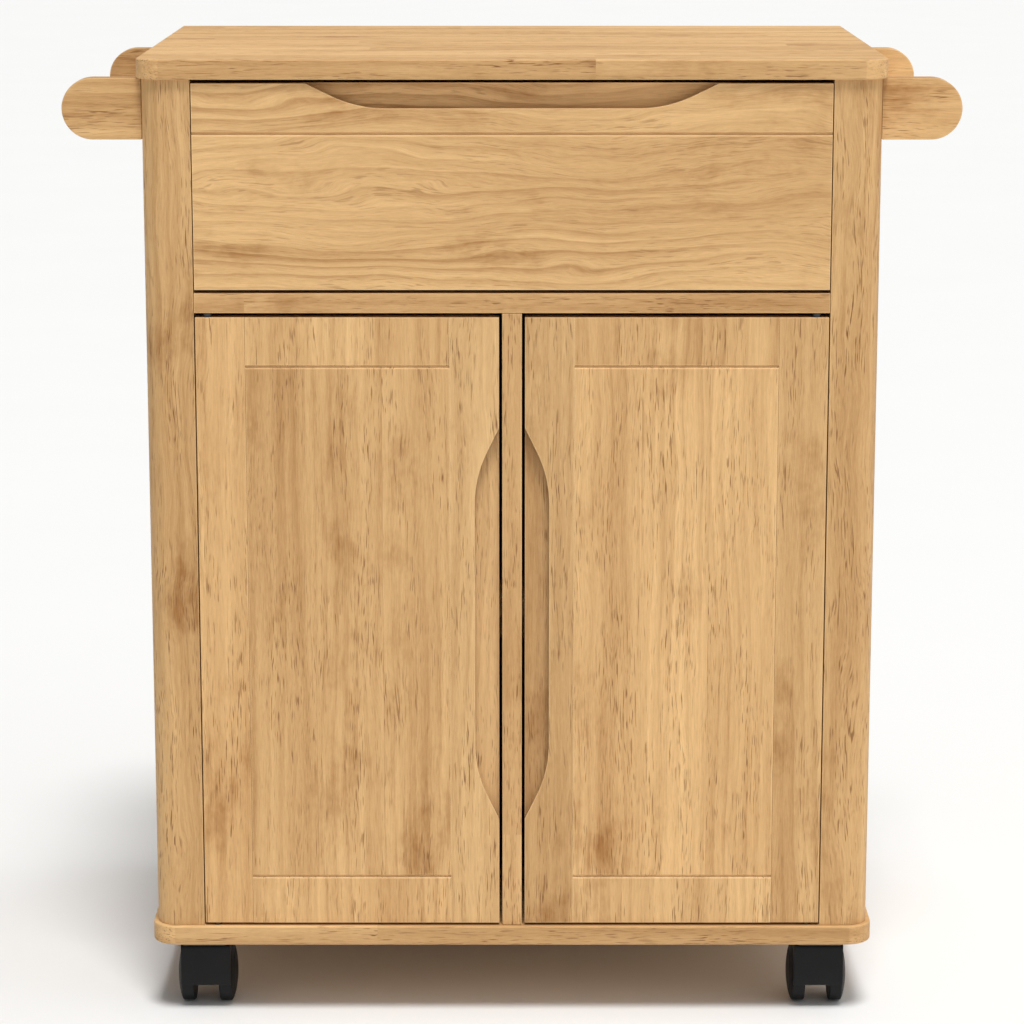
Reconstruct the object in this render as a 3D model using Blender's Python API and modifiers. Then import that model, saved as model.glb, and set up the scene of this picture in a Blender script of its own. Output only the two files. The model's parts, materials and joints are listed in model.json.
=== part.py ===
"""Kitchen island cart: a pine cabinet on four twin-wheel castors, with a drawer over two doors and a
towel rod between brackets on each side. Metres, +Z up. The front faces -Y and the floor is at Z = 0."""

import math

import bmesh
import bpy
from mathutils import Matrix, Vector

NAME = "kitchen_island_cart"

# Driving sizes of the whole cart
CART_WIDTH = 0.600  # the top and bottom boards
CART_DEPTH = 0.428
CART_HEIGHT = 0.795
CASTOR_HEIGHT = 0.0615
BOARD = 0.016  # thickness of every plank
OVERHANG = 0.004  # the top and bottom boards past the body
STRIP = 0.040  # width of the posts, stiles and rails
GAP = 0.0003  # between two pieces that touch
EDGE = 0.0006  # eased edge of a plank
BOARD_EDGE = 0.0012  # eased edge of the top and bottom boards

# The body, from those
FRONT = -CART_DEPTH / 2
BACK = CART_DEPTH / 2
FACE = FRONT + OVERHANG  # front plane of the posts, doors and drawer
REAR = BACK - OVERHANG
SIDE = CART_WIDTH / 2 - OVERHANG  # outer face of the posts and side panels
SIDE_IN = SIDE - BOARD
POST_IN = SIDE - STRIP
POST_BACK = FACE + STRIP
POST_RADIUS = 0.018
BODY_LOW = CASTOR_HEIGHT + BOARD
BODY_HIGH = CART_HEIGHT - BOARD
BACK_PANEL = 0.005
BACK_PANEL_INSET = 0.002  # the back panel in from the side panels' rear edges
BACK_PANEL_FRONT = REAR - BACK_PANEL - BACK_PANEL_INSET
INSIDE_BACK = BACK_PANEL_FRONT - GAP

# Deck under the drawer, divider, shelves and the cleats that hold them
DECK_LOW = 0.592
DECK_HIGH = DECK_LOW + BOARD
DIVIDER_HALF = BOARD / 2
SHELF_LOW = 0.3303
SHELF_FRONT = -0.165
CLEAT_HEIGHT = 0.020
CLEAT_SETBACK = 0.012  # front end of a cleat behind the shelf's front edge

# Scooped finger pulls, cut into the front of the drawer and of each door
SCOOP_HALF = 0.1643
SCOOP_FLAT_HALF = 0.1011
SCOOP_SLOPE = math.radians(26)
SCOOP_DEPTH = 0.0198
SCOOP_RECESS = 0.009  # how far the recessed face lies behind the front
SCOOP_LIP = 0.004  # thickness of the lip that the fingers pull on
SCOOP_UNDERCUT = 0.005

# Gaps round the drawer front and the doors
POST_GAP = 0.0008  # beside a post
DRAWER_GAP_BELOW = 0.0028
DRAWER_GAP_ABOVE = 0.0032
DIVIDER_GAP = 0.0025
DOOR_GAP_BELOW = 0.0023
DOOR_GAP_ABOVE = 0.0035

# Drawer
DRAWER_FRONT_HALF = POST_IN - POST_GAP
DRAWER_LOW = DECK_HIGH + DRAWER_GAP_BELOW
DRAWER_HIGH = BODY_HIGH - DRAWER_GAP_ABOVE
DRAWER_BOX_HALF = 0.2545
DRAWER_BOX_LOW = 0.618
DRAWER_BOX_HIGH = 0.718
DRAWER_BOX_BACK = 0.150
DRAWER_WALL = 0.012
DRAWER_BOTTOM = 0.004
DRAWER_BOTTOM_LOW = 0.626
DRAWER_BOTTOM_GROOVE = 0.005
GROOVE_WIDTH = 0.0016
RUNNER_TIP = 0.2490
RUNNER_LOW = 0.6602
RUNNER_HIGH = 0.6747
RUNNER_PLAY = 0.0005

# Doors, on pins in their top and bottom edges
DOOR_OUT = POST_IN - POST_GAP
DOOR_IN = DIVIDER_HALF + DIVIDER_GAP
DOOR_LOW = BODY_LOW + DOOR_GAP_BELOW
DOOR_HIGH = DECK_LOW - DOOR_GAP_ABOVE
SCOOP_CENTRE = 0.334
PIN_INSET = 0.010  # pin axis in from the door's hinge edge
PIN_SETBACK = 0.004  # pin axis behind the door's front
PIN_RADIUS = 0.002
PIN_PLAY = 0.00006
PIN_IN_BOARD = 0.012
PIN_IN_DOOR = 0.015
COLLAR_RADIUS = 0.0035

# Magnetic catches under the deck
CATCH_NEAR = 0.016
CATCH_FAR = 0.056
CATCH_DEPTH = 0.014
CATCH_HEIGHT = 0.0137

# Handles
BRACKET_TIP = 0.3603
BRACKET_HEIGHT = 0.049
BRACKET_FRONTS = {"front": FACE + POST_RADIUS, "rear": 0.150}
ROD_RADIUS = 0.008
ROD_DROP = 0.010  # the rod's axis below the middle of its brackets
ROD_SOCKET = 0.008

# Castors
STEM_X = 0.257
STEM_YS = {"front": -0.190, "rear": 0.166}
TRAIL = 0.019
WHEEL_RADIUS = 0.025
WHEEL_INNER = 0.0104
WHEEL_OUTER = 0.0250
WHEEL_FACE_EDGE = 0.0209  # the domed face's edge, from the castor's middle
DOME_SHARES = (0, 0.5, 0.8, 0.96)  # of the wheel's radius
TREAD_OUTER = 0.0200
TREAD_INNER = 0.0114
WHEEL_CHAMFER = 0.001
WHEEL_BORE_END = 0.0200
AXLE_RADIUS = 0.003
AXLE_HALF = 0.0195
AXLE_PLAY = 0.00006
PLATE_HALF = 0.019
PLATE_THICK = 0.002
STEM_RADIUS = 0.004
STEM_LENGTH = 0.020
STEM_PLAY = 0.0001
HOOD_TOP = 0.059
HOOD_RADIUS = 0.029
HOOD_HALF = 0.0205
HOOD_WEB_HALF = 0.0097
HOOD_CLEARANCE = 0.0012
HOOD_SKIRT_LOW = 0.020
HOOD_EDGE = 0.003
HOOD_CORNER = 0.006  # radius of the corner in front of the stem
HOOD_CROWN_END = 0.012  # back end of the flat top, behind the stem
HOOD_NOSE = 0.0215  # height of the hood's lowest point in front
HOOD_ARC = (82, 10)  # degrees about the axle, from the crown down to the rear
HOOD_UNDERSIDE = ((0.034, 0.0185), (TRAIL, 0.0150), (0.004, 0.0170))

# Looks: colour, roughness, metallic
PINE = ((0.644, 0.392, 0.181, 1), 0.55, 0)
PLYWOOD = ((0.680, 0.470, 0.270, 1), 0.65, 0)
BLACK_PLASTIC = ((0.014, 0.014, 0.015, 1), 0.45, 0)
BLACK_TREAD = ((0.018, 0.018, 0.019, 1), 0.60, 0)
BROWN_PLASTIC = ((0.050, 0.034, 0.024, 1), 0.50, 0)
BLACK_STEEL = ((0.020, 0.020, 0.021, 1), 0.45, 0)

FLAT_ANGLE = math.radians(0.5)  # faces that meet at less than this are one flat face
EASED_ANGLE = math.radians(50)  # edges sharper than this are eased
MERGE = 0.00001
CORNER_STEPS = 6
HOOD_STEPS = 4
HOLE_SEGMENTS = 16
ROUND_SEGMENTS = 24
SIDES = {"left": -1, "right": 1}


def clear_scene():
    for old in list(bpy.data.objects):
        bpy.data.objects.remove(old, do_unlink=True)


def new_collection(name):
    group = bpy.data.collections.new(name)
    bpy.context.scene.collection.children.link(group)
    return group


def new_material(name, look):
    colour, roughness, metallic = look
    material = bpy.data.materials.new(name)
    material.use_nodes = True
    shader = material.node_tree.nodes["Principled BSDF"]
    shader.inputs["Base Color"].default_value = colour
    shader.inputs["Roughness"].default_value = roughness
    shader.inputs["Metallic"].default_value = metallic
    material.diffuse_color = colour
    return material


def finish_part(part, look, parent=None):
    """Gives a part its material and hangs it on its joint's empty, which stays where it is."""
    PARTS.objects.link(part)
    part.data.materials.append(new_material(part.name, look))
    if parent:
        part.parent = parent
        part.location -= parent.location
    return part


def finish_cutter(cutter):
    CUTTERS.objects.link(cutter)
    cutter.hide_render = True
    cutter.display_type = "WIRE"
    return cutter


def joint_empty(name, place):
    empty = bpy.data.objects.new(name, None)
    empty.location = place
    PARTS.objects.link(empty)
    return empty


def mirrored_box(side, near, far, front, back, low, high):
    """Corners of a box between two distances from the middle plane, on the side that the sign gives."""
    across = sorted((side * near, side * far))
    return (across[0], front, low), (across[1], back, high)


def box_object(name, low, high):
    size = Vector(high) - Vector(low)
    mesh = bpy.data.meshes.new(name)
    form = bmesh.new()
    bmesh.ops.create_cube(form, size=1, matrix=Matrix.Diagonal((*size, 1)))
    form.to_mesh(mesh)
    form.free()
    box = bpy.data.objects.new(name, mesh)
    box.location = (Vector(high) + Vector(low)) / 2
    return box


def ease_edges(part, width, segments=1):
    bevel = part.modifiers.new("eased_edges", "BEVEL")
    bevel.width = width
    bevel.segments = segments
    bevel.limit_method = "ANGLE"
    bevel.angle_limit = EASED_ANGLE


def plank(name, low, high, look=PINE, parent=None, edge=EDGE):
    part = box_object(name, low, high)
    if edge:
        ease_edges(part, edge)
    return finish_part(part, look, parent)


def boolean(part, tool, operation="DIFFERENCE"):
    modifier = part.modifiers.new(tool.name, "BOOLEAN")
    modifier.operation = operation
    modifier.solver = "EXACT"
    modifier.object = tool


def cut_box(part, name, low, high):
    boolean(part, finish_cutter(box_object(name, low, high)))


def arc(centre, radius, start, end, steps=CORNER_STEPS):
    """Points on an arc between two angles in degrees."""
    angles = [math.radians(start + (end - start) * i / steps) for i in range(steps + 1)]
    return [(centre[0] + radius * math.cos(a), centre[1] + radius * math.sin(a)) for a in angles]


def outline_object(name, points, thickness, centre, facing="Z"):
    """A slab with the given outline. Its outline lies in XY, XZ or YZ as it faces Z, Y or X."""
    turns = {
        "Z": Matrix.Identity(4),
        "Y": Matrix.Rotation(math.radians(90), 4, "X"),
        "X": Matrix(((0, 0, 1, 0), (1, 0, 0, 0), (0, 1, 0, 0), (0, 0, 0, 1))),
    }
    curve = bpy.data.curves.new(name, "CURVE")
    curve.dimensions = "2D"
    curve.fill_mode = "BOTH"
    curve.extrude = thickness / 2
    spline = curve.splines.new("POLY")
    spline.points.add(len(points) - 1)
    for point, (u, v) in zip(spline.points, points):
        point.co = (u, v, 0, 1)
    spline.use_cyclic_u = True
    flat = bpy.data.objects.new(name + "_outline", curve)
    bpy.context.scene.collection.objects.link(flat)
    graph = bpy.context.evaluated_depsgraph_get()
    mesh = bpy.data.meshes.new_from_object(flat.evaluated_get(graph))
    bpy.data.objects.remove(flat)
    mesh.name = name
    mesh.transform(turns[facing])
    form = bmesh.new()
    form.from_mesh(mesh)
    bmesh.ops.remove_doubles(form, verts=form.verts, dist=MERGE)
    bmesh.ops.dissolve_limit(form, angle_limit=FLAT_ANGLE, verts=form.verts, edges=form.edges)
    bmesh.ops.recalc_face_normals(form, faces=form.faces)
    form.to_mesh(mesh)
    form.free()
    slab = bpy.data.objects.new(name, mesh)
    slab.location = centre
    return slab


def cylinder_object(name, radius, length, centre, along="Z", segments=HOLE_SEGMENTS):
    turns = {
        "Z": Matrix.Identity(4),
        "Y": Matrix.Rotation(math.radians(90), 4, "X"),
        "X": Matrix.Rotation(math.radians(90), 4, "Y"),
    }
    mesh = bpy.data.meshes.new(name)
    form = bmesh.new()
    bmesh.ops.create_cone(
        form,
        cap_ends=True,
        segments=segments,
        radius1=radius,
        radius2=radius,
        depth=length,
        matrix=turns[along],
    )
    form.to_mesh(mesh)
    form.free()
    cylinder = bpy.data.objects.new(name, mesh)
    cylinder.location = centre
    return cylinder


def turned_object(name, profile, centre, steps=HOLE_SEGMENTS):
    """A solid turned about its own Z from (radius, height) points, top to bottom down its outer side."""
    mesh = bpy.data.meshes.new(name)
    points = [(radius, 0, height) for radius, height in profile]
    mesh.from_pydata(points, [(i, i + 1) for i in range(len(points) - 1)], [])
    turned = bpy.data.objects.new(name, mesh)
    turned.location = centre
    screw = turned.modifiers.new("turned", "SCREW")
    screw.axis = "Z"
    screw.angle = math.tau
    screw.steps = steps
    screw.render_steps = steps
    screw.use_merge_vertices = True
    screw.merge_threshold = MERGE
    screw.use_smooth_shade = True
    return turned


def corner_board(name, low_z):
    """A top or bottom board, with its two front corners rounded and its back corners square."""
    radius = POST_RADIUS + OVERHANG
    half = CART_WIDTH / 2
    points = [(half, BACK), (-half, BACK)]
    points += arc((-half + radius, FRONT + radius), radius, 180, 270)
    points += arc((half - radius, FRONT + radius), radius, 270, 360)
    board = outline_object(name, points, BOARD, (0, 0, low_z + BOARD / 2))
    ease_edges(board, BOARD_EDGE, 2)
    return finish_part(board, PINE)


def front_post(side_name, side):
    points = [(side * POST_IN, FACE), (side * POST_IN, POST_BACK), (side * SIDE, POST_BACK)]
    centre = (side * (SIDE - POST_RADIUS), FACE + POST_RADIUS)
    points += arc(centre, POST_RADIUS, 0 if side > 0 else 180, -90 if side > 0 else 270)
    middle = (BODY_LOW + BODY_HIGH) / 2
    post = outline_object(
        f"front_post_{side_name}", points, BODY_HIGH - BODY_LOW - 2 * GAP, (0, 0, middle)
    )
    return finish_part(post, PINE)


def pin_place(side):
    return Vector((side * (DOOR_OUT - PIN_INSET), FACE + PIN_SETBACK, 0))


def make_carcase():
    corner_board("top_board", BODY_HIGH)
    bottom = corner_board("bottom_board", CASTOR_HEIGHT)
    deck = drawer_deck()
    plank(
        "centre_divider",
        (-DIVIDER_HALF, FACE, BODY_LOW + GAP),
        (DIVIDER_HALF, INSIDE_BACK, DECK_LOW - GAP),
    )
    plank(
        "back_panel",
        (-SIDE_IN + GAP, BACK_PANEL_FRONT, BODY_LOW + GAP),
        (SIDE_IN - GAP, BACK_PANEL_FRONT + BACK_PANEL, BODY_HIGH - GAP),
        PLYWOOD,
        edge=0,
    )
    for name, side in SIDES.items():
        front_post(name, side)
        low, high = mirrored_box(
            side, SIDE_IN, SIDE, POST_BACK + GAP, REAR, BODY_LOW + GAP, BODY_HIGH - GAP
        )
        plank(f"side_panel_{name}", low, high)
        make_shelf(name, side)
        make_pins(name, side, bottom, deck)
        low, high = mirrored_box(
            side,
            CATCH_NEAR,
            CATCH_FAR,
            FACE + BOARD + GAP,
            FACE + BOARD + GAP + CATCH_DEPTH,
            DECK_LOW - GAP - CATCH_HEIGHT,
            DECK_LOW - GAP,
        )
        plank(f"door_catch_{name}", low, high, BROWN_PLASTIC)


def drawer_deck():
    """The board between drawer and cupboard, notched round the posts so that it reaches the sides."""
    wide = SIDE_IN - GAP
    deck = plank("drawer_deck", (-wide, FACE, DECK_LOW), (wide, INSIDE_BACK, DECK_HIGH))
    for name, side in SIDES.items():
        low, high = mirrored_box(
            side, POST_IN - GAP, SIDE, FRONT, POST_BACK + GAP, DECK_LOW - BOARD, DECK_HIGH + BOARD
        )
        cut_box(deck, f"deck_notch_{name}", low, high)
    return deck


def make_shelf(name, side):
    low, high = mirrored_box(
        side,
        DIVIDER_HALF + GAP,
        SIDE_IN - GAP,
        SHELF_FRONT,
        INSIDE_BACK,
        SHELF_LOW,
        SHELF_LOW + BOARD,
    )
    plank(f"shelf_{name}", low, high)
    walls = {"inner": DIVIDER_HALF + GAP, "outer": SIDE_IN - GAP - BOARD}
    for end, near in walls.items():
        low, high = mirrored_box(
            side,
            near,
            near + BOARD,
            SHELF_FRONT + CLEAT_SETBACK,
            INSIDE_BACK,
            SHELF_LOW - GAP - CLEAT_HEIGHT,
            SHELF_LOW - GAP,
        )
        plank(f"shelf_cleat_{name}_{end}", low, high)


def make_pins(name, side, bottom, deck):
    """The door's two pivot pins, each with a collar in the gap between the door and its board."""
    place = pin_place(side)
    seats = {
        "lower": (bottom, BODY_LOW, DOOR_LOW, -1),
        "upper": (deck, DECK_LOW, DOOR_HIGH, 1),
    }
    for end, (board, board_face, door_face, up) in seats.items():
        levels = [
            door_face - up * PIN_IN_DOOR,
            door_face + up * GAP,
            board_face - up * GAP,
            board_face + up * PIN_IN_BOARD,
        ]
        high, collar_high, collar_low, low = levels if up < 0 else reversed(levels)
        profile = [
            (0, high),
            (PIN_RADIUS, high),
            (PIN_RADIUS, collar_high),
            (COLLAR_RADIUS, collar_high),
            (COLLAR_RADIUS, collar_low),
            (PIN_RADIUS, collar_low),
            (PIN_RADIUS, low),
            (0, low),
        ]
        finish_part(turned_object(f"{name}_door_pin_{end}", profile, place), BLACK_STEEL)
        depth = PIN_IN_BOARD + GAP
        centre = place + Vector((0, 0, board_face + up * (depth / 2 - GAP)))
        hole = cylinder_object(
            f"{name}_{end}_pin_seat", PIN_RADIUS + GAP, depth + 2 * GAP, centre
        )
        boolean(board, finish_cutter(hole))


def scoop_outline(depth):
    """Half of a scoop runs down a slope and round an arc into its flat floor, and then is mirrored.
    The edge lies along u with its middle at 0, and v goes into the wood. The outline starts outside."""
    rise = math.tan(SCOOP_SLOPE)
    run = SCOOP_HALF - SCOOP_FLAT_HALF
    radius = (rise * run - SCOOP_DEPTH) / (
        rise * math.sin(SCOOP_SLOPE) - (1 - math.cos(SCOOP_SLOPE))
    )
    deeper = depth - SCOOP_DEPTH
    slope_end = 90 - math.degrees(SCOOP_SLOPE)
    curve = arc((SCOOP_FLAT_HALF, depth - radius), radius, slope_end, 90)
    outside = BOARD_EDGE
    right = [(SCOOP_HALF + (outside + deeper) / rise, -outside), *curve]
    return right + [(-u, v) for u, v in reversed(right)]


def cut_scoop(part, edge_middle, into, along):
    """Cuts the recess that shows, and behind its lip an undercut that fingers hook into."""
    stages = {
        "recess": (SCOOP_DEPTH, -OVERHANG, SCOOP_RECESS),
        "undercut": (SCOOP_DEPTH + SCOOP_UNDERCUT, SCOOP_LIP, SCOOP_RECESS),
    }
    for stage, (depth, start, end) in stages.items():
        points = [
            (u * along[0] + v * into[0], u * along[1] + v * into[1])
            for u, v in scoop_outline(depth)
        ]
        centre = Vector(edge_middle) + Vector((0, FACE + (start + end) / 2, 0))
        cutter = outline_object(f"{part.name}_{stage}", points, end - start, centre, "Y")
        boolean(part, finish_cutter(cutter))


def cut_v_groove(part, half, height):
    """A shallow V across the drawer front: a square bar turned on its corner, let into the face."""
    side = GROOVE_WIDTH / math.sqrt(2)
    groove = box_object(f"{part.name}_v_groove", (-half, -side / 2, -side / 2), (half, side / 2, side / 2))
    groove.location = (0, FACE, height)
    groove.rotation_euler = (math.radians(45), 0, 0)
    boolean(part, finish_cutter(groove))


def make_drawer():
    slide = joint_empty("drawer_slide", (0, FACE, (DRAWER_LOW + DRAWER_HIGH) / 2))
    front_back = FACE + BOARD
    front = plank(
        "drawer_front",
        (-DRAWER_FRONT_HALF, FACE, DRAWER_LOW),
        (DRAWER_FRONT_HALF, front_back, DRAWER_HIGH),
        parent=slide,
    )
    cut_scoop(front, (0, 0, DRAWER_HIGH), (0, -1), (1, 0))
    cut_v_groove(front, CART_WIDTH / 2, DRAWER_HIGH - STRIP)
    inner = DRAWER_BOX_HALF - DRAWER_WALL
    for name, side in SIDES.items():
        low, high = mirrored_box(
            side,
            inner,
            DRAWER_BOX_HALF,
            front_back + GAP,
            DRAWER_BOX_BACK,
            DRAWER_BOX_LOW,
            DRAWER_BOX_HIGH,
        )
        wall = plank(f"drawer_side_{name}", low, high, parent=slide)
        low, high = mirrored_box(
            side,
            RUNNER_TIP - RUNNER_PLAY,
            SIDE,
            POST_BACK,
            BACK,
            RUNNER_LOW - RUNNER_PLAY,
            RUNNER_HIGH + GAP,
        )
        cut_box(wall, f"drawer_groove_{name}", low, high)
        low, high = mirrored_box(
            side,
            0,
            inner + DRAWER_BOTTOM_GROOVE,
            FRONT,
            BACK,
            DRAWER_BOTTOM_LOW - GAP,
            DRAWER_BOTTOM_LOW + DRAWER_BOTTOM + GAP,
        )
        cut_box(wall, f"drawer_bottom_groove_{name}", low, high)
        low, high = mirrored_box(
            side,
            RUNNER_TIP,
            SIDE_IN - GAP,
            POST_BACK + GAP,
            INSIDE_BACK,
            RUNNER_LOW,
            RUNNER_HIGH,
        )
        plank(f"drawer_runner_{name}", low, high)
    plank(
        "drawer_back",
        (-inner + GAP, DRAWER_BOX_BACK - DRAWER_WALL, DRAWER_BOTTOM_LOW + DRAWER_BOTTOM + GAP),
        (inner - GAP, DRAWER_BOX_BACK, DRAWER_BOX_HIGH),
        parent=slide,
    )
    reach = inner + DRAWER_BOTTOM_GROOVE - GAP
    plank(
        "drawer_bottom",
        (-reach, front_back + GAP, DRAWER_BOTTOM_LOW),
        (reach, DRAWER_BOX_BACK, DRAWER_BOTTOM_LOW + DRAWER_BOTTOM),
        PLYWOOD,
        parent=slide,
        edge=0,
    )


def make_door(name, side):
    pivot = joint_empty(f"{name}_door_pivot", pin_place(side))
    hinge_stile_in = DOOR_OUT - STRIP
    lock_stile_out = DOOR_IN + STRIP
    panel_low, panel_high = DOOR_LOW + STRIP, DOOR_HIGH - STRIP
    between = (lock_stile_out + GAP, hinge_stile_in - GAP)
    pieces = {
        "hinge_stile": (hinge_stile_in, DOOR_OUT, DOOR_LOW, DOOR_HIGH),
        "lock_stile": (DOOR_IN, lock_stile_out, DOOR_LOW, DOOR_HIGH),
        "top_rail": (*between, panel_high, DOOR_HIGH),
        "bottom_rail": (*between, DOOR_LOW, panel_low),
        "panel": (*between, panel_low + GAP, panel_high - GAP),
    }
    made = {}
    for piece, (near, far, low_z, high_z) in pieces.items():
        low, high = mirrored_box(side, near, far, FACE, FACE + BOARD, low_z, high_z)
        made[piece] = plank(f"{name}_door_{piece}", low, high, parent=pivot)
    cut_scoop(made["lock_stile"], (side * DOOR_IN, 0, SCOOP_CENTRE), (side, 0), (0, 1))
    depth = PIN_IN_DOOR + GAP
    for end, height in {"lower": DOOR_LOW + depth / 2, "upper": DOOR_HIGH - depth / 2}.items():
        centre = pin_place(side) + Vector((0, 0, height))
        hole = cylinder_object(
            f"{name}_{end}_pin_hole", PIN_RADIUS + PIN_PLAY, depth + 2 * GAP, centre
        )
        boolean(made["hinge_stile"], finish_cutter(hole))


def make_handle(name, side):
    """Two bracket planks with round ends, and the rod whose ends sit in blind sockets in them."""
    radius = BRACKET_HEIGHT / 2
    centre_x = BRACKET_TIP - radius
    centre_z = BODY_HIGH - GAP - radius
    tip_arc = arc((centre_x - SIDE - GAP, 0), radius, -90, 90, 2 * CORNER_STEPS)
    points = [(side * u, v) for u, v in [(0, radius), (0, -radius), *tip_arc]]
    rod_centre = Vector((side * centre_x, 0, centre_z - ROD_DROP))
    rod_front = BRACKET_FRONTS["front"] + BOARD - ROD_SOCKET
    rod_back = BRACKET_FRONTS["rear"] + ROD_SOCKET
    rod_centre.y = (rod_front + rod_back) / 2
    for end, front in BRACKET_FRONTS.items():
        middle = (side * (SIDE + GAP), front + BOARD / 2, centre_z)
        bracket = outline_object(f"handle_bracket_{name}_{end}", points, BOARD, middle, "Y")
        ease_edges(bracket, EDGE)
        finish_part(bracket, PINE)
        socket = cylinder_object(
            f"{name}_{end}_rod_socket",
            ROD_RADIUS + GAP,
            rod_back - rod_front + 2 * GAP,
            rod_centre,
            "Y",
            ROUND_SEGMENTS,
        )
        boolean(bracket, finish_cutter(socket))
    rod = cylinder_object(
        f"towel_rod_{name}", ROD_RADIUS, rod_back - rod_front, rod_centre, "Y", ROUND_SEGMENTS
    )
    finish_part(rod, PINE)


def hood_outline():
    """The hood seen from the side: (behind the stem, above the floor)."""
    axle = (TRAIL, WHEEL_RADIUS)
    front = TRAIL - HOOD_RADIUS
    nose = math.degrees(math.asin((WHEEL_RADIUS - HOOD_NOSE) / HOOD_RADIUS))
    corner = (front + HOOD_CORNER, HOOD_TOP - HOOD_CORNER)
    points = arc(axle, HOOD_RADIUS, 180 + nose, 180, HOOD_STEPS)
    points += arc(corner, HOOD_CORNER, 180, 90, HOOD_STEPS)
    points += [(HOOD_CROWN_END, HOOD_TOP)]
    points += arc(axle, HOOD_RADIUS, *HOOD_ARC, 2 * HOOD_STEPS)
    points += HOOD_UNDERSIDE
    return points


def make_castor(name, x, y):
    """One castor: its plate and stem on the cabinet, and the hood and its wheels, which trail behind."""
    board_face = CASTOR_HEIGHT - GAP
    plate_low = board_face - PLATE_THICK
    plate = box_object(
        f"castor_plate_{name}",
        (x - PLATE_HALF, y - PLATE_HALF, plate_low),
        (x + PLATE_HALF, y + PLATE_HALF, board_face),
    )
    stem_top = plate_low + PLATE_THICK / 2
    stem_low = plate_low - STEM_LENGTH
    stem = cylinder_object(
        f"{name}_stem", STEM_RADIUS, stem_top - stem_low, (x, y, (stem_top + stem_low) / 2)
    )
    boolean(plate, finish_cutter(stem), "UNION")
    finish_part(plate, BLACK_STEEL)

    hood = outline_object(f"castor_hood_{name}", hood_outline(), 2 * HOOD_HALF, (x, y, 0), "X")
    ease_edges(hood, HOOD_EDGE)
    axle_place = Vector((x, y + TRAIL, WHEEL_RADIUS))
    room = WHEEL_RADIUS + HOOD_CLEARANCE
    for side_name, side in SIDES.items():
        far = HOOD_HALF + OVERHANG
        middle = axle_place + Vector((side * (HOOD_WEB_HALF + far) / 2, 0, 0))
        wheel_room = cylinder_object(
            f"{name}_wheel_room_{side_name}", room, far - HOOD_WEB_HALF, middle, "X", ROUND_SEGMENTS
        )
        boolean(hood, finish_cutter(wheel_room))
        low, high = mirrored_box(
            side, HOOD_WEB_HALF, far, -HOOD_RADIUS, TRAIL + room, -OVERHANG, HOOD_SKIRT_LOW
        )
        corner = Vector((x, y, 0))
        cut_box(hood, f"{name}_skirt_{side_name}", corner + Vector(low), corner + Vector(high))
    bore_low, bore_top = stem_low - GAP, HOOD_TOP + GAP
    bore = cylinder_object(
        f"{name}_stem_bore",
        STEM_RADIUS + STEM_PLAY,
        bore_top - bore_low,
        (x, y, (bore_top + bore_low) / 2),
    )
    boolean(hood, finish_cutter(bore))
    axle = cylinder_object(f"{name}_axle", AXLE_RADIUS, 2 * AXLE_HALF, axle_place, "X")
    boolean(hood, finish_cutter(axle), "UNION")
    finish_part(hood, BLACK_PLASTIC)

    for side_name, side in SIDES.items():
        wheel = turned_object(
            f"castor_wheel_{name}_{side_name}", wheel_profile(), axle_place, ROUND_SEGMENTS
        )
        wheel.rotation_euler = (0, side * math.radians(90), 0)
        finish_part(wheel, BLACK_TREAD, hood)


def wheel_profile():
    """(radius, distance from the castor's middle): a domed outer face, a tread and a blind bore."""
    bulge = WHEEL_OUTER - WHEEL_FACE_EDGE
    dome = [(WHEEL_RADIUS * share, WHEEL_OUTER - bulge * share**2) for share in DOME_SHARES]
    tread = [
        (WHEEL_RADIUS, TREAD_OUTER),
        (WHEEL_RADIUS, TREAD_INNER),
        (WHEEL_RADIUS - WHEEL_CHAMFER, WHEEL_INNER),
    ]
    bore = AXLE_RADIUS + AXLE_PLAY
    return dome + tread + [(bore, WHEEL_INNER), (bore, WHEEL_BORE_END), (0, WHEEL_BORE_END)]


clear_scene()
PARTS = new_collection(NAME)
CUTTERS = new_collection(NAME + "_cutters")
make_carcase()
make_drawer()
for side_word, sign in SIDES.items():
    make_door(side_word, sign)
    make_handle(side_word, sign)
    for end_word, stem_y in STEM_YS.items():
        make_castor(f"{end_word}_{side_word}", sign * STEM_X, stem_y)
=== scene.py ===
"""Looks of the kitchen island cart: honey-coloured pine planks with eased edges, and black castors.

Every piece takes its place from the CAD node that it stands for. Metres, +Z up, front to -Y."""
import json
import math
import random

import bmesh
import bpy
from mathutils import Matrix, Vector


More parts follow.
